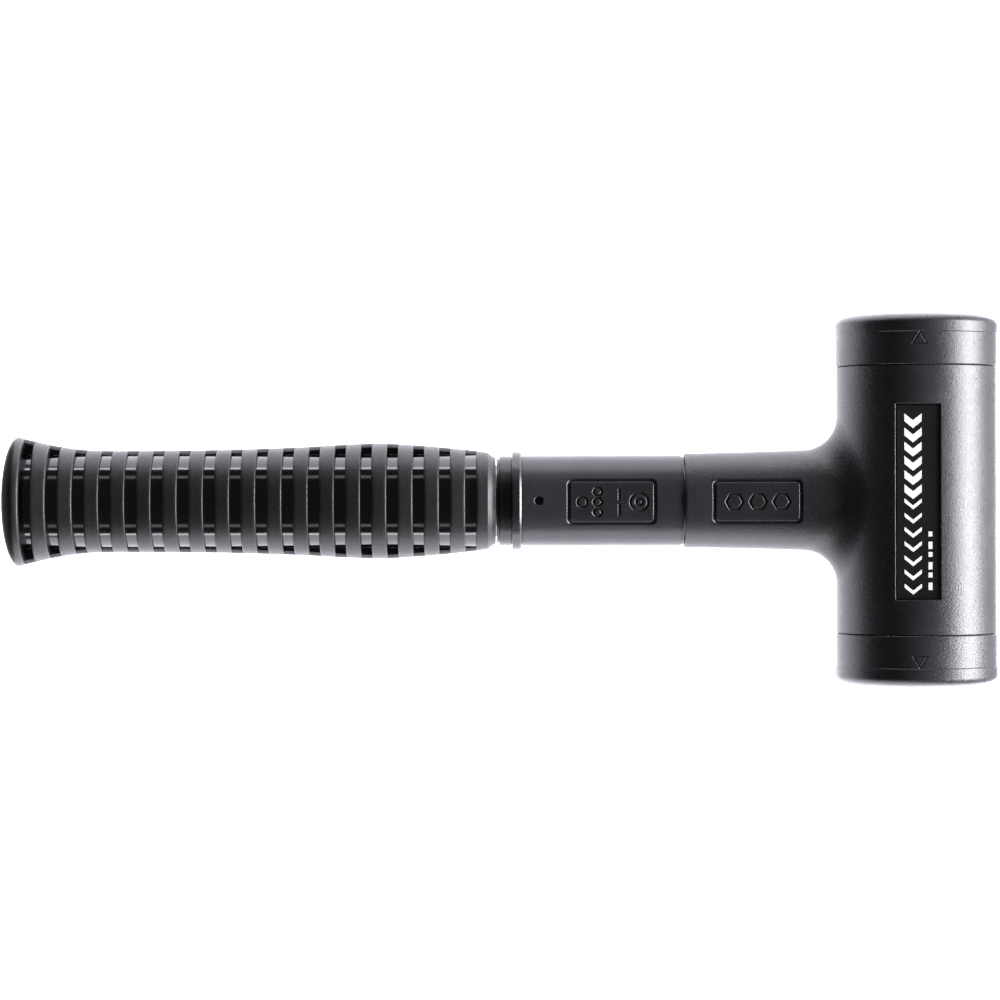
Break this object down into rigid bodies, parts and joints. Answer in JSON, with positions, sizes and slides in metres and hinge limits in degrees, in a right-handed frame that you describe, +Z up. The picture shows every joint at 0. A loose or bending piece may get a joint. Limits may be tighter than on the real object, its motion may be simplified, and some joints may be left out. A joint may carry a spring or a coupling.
{
  "type": "dead blow mallet",
  "caption": "Dead blow mallet: black polyurethane head over a steel canister of loose shot, tubular handle, ribbed soft grip.",
  "frame": {"origin": "under the middle of the bounding box, on the surface that the mallet lies on", "axes": "+X along the handle from butt to head, +Y along the head from lower to upper striking face, +Z up, square to the plane of handle and head"},
  "size_m": [0.307, 0.114, 0.05],
  "materials": {
    "head_polyurethane": "satin black cast polyurethane with a fine grain",
    "cap_polyurethane": "satin black cast polyurethane with a fine grain",
    "badge_black": "matte black printed plate",
    "canister_steel": "drawn steel tube, lightly oiled",
    "plug_steel": "blackened socket screw",
    "tube_steel": "drawn steel tube",
    "weld_steel": "weld bead with heat tint",
    "plug_plastic": "matte black moulded plastic",
    "sleeve_plastic": "satin black moulded plastic",
    "ring_plastic": "smooth black moulded plastic",
    "core_plastic": "gloss black moulded plastic",
    "grip_rubber": "satin black soft rubber",
    "shot_steel": "bright steel shot"
  },
  "bodies": {
    "mallet": {"head_jacket": "head_polyurethane", "striking_cap_upper": "cap_polyurethane", "striking_cap_lower": "cap_polyurethane", "badge_plate": "badge_black", "canister_tube": "canister_steel", "canister_end_upper": "canister_steel", "canister_end_lower": "canister_steel", "fill_plug": "plug_steel", "handle_tube": "tube_steel", "handle_weld": "weld_steel", "tube_plug": "plug_plastic", "shaft_sleeve": "sleeve_plastic", "stop_ring": "ring_plastic", "grip_core": "core_plastic", "ribbed_grip": "grip_rubber"},
    "shot": {"shot_layer_1": "shot_steel", "shot_layer_2": "shot_steel", "shot_layer_3": "shot_steel", "shot_layer_4": "shot_steel", "shot_layer_5": "shot_steel", "shot_layer_6": "shot_steel", "shot_layer_7": "shot_steel", "shot_layer_8": "shot_steel"}
  },
  "joints": [
    {"name": "shot_slide", "type": "slide", "parent": "mallet", "child": "shot", "axis": [0, 1, 0], "range_m": [-0.0075, 0.0075]}
  ]
}
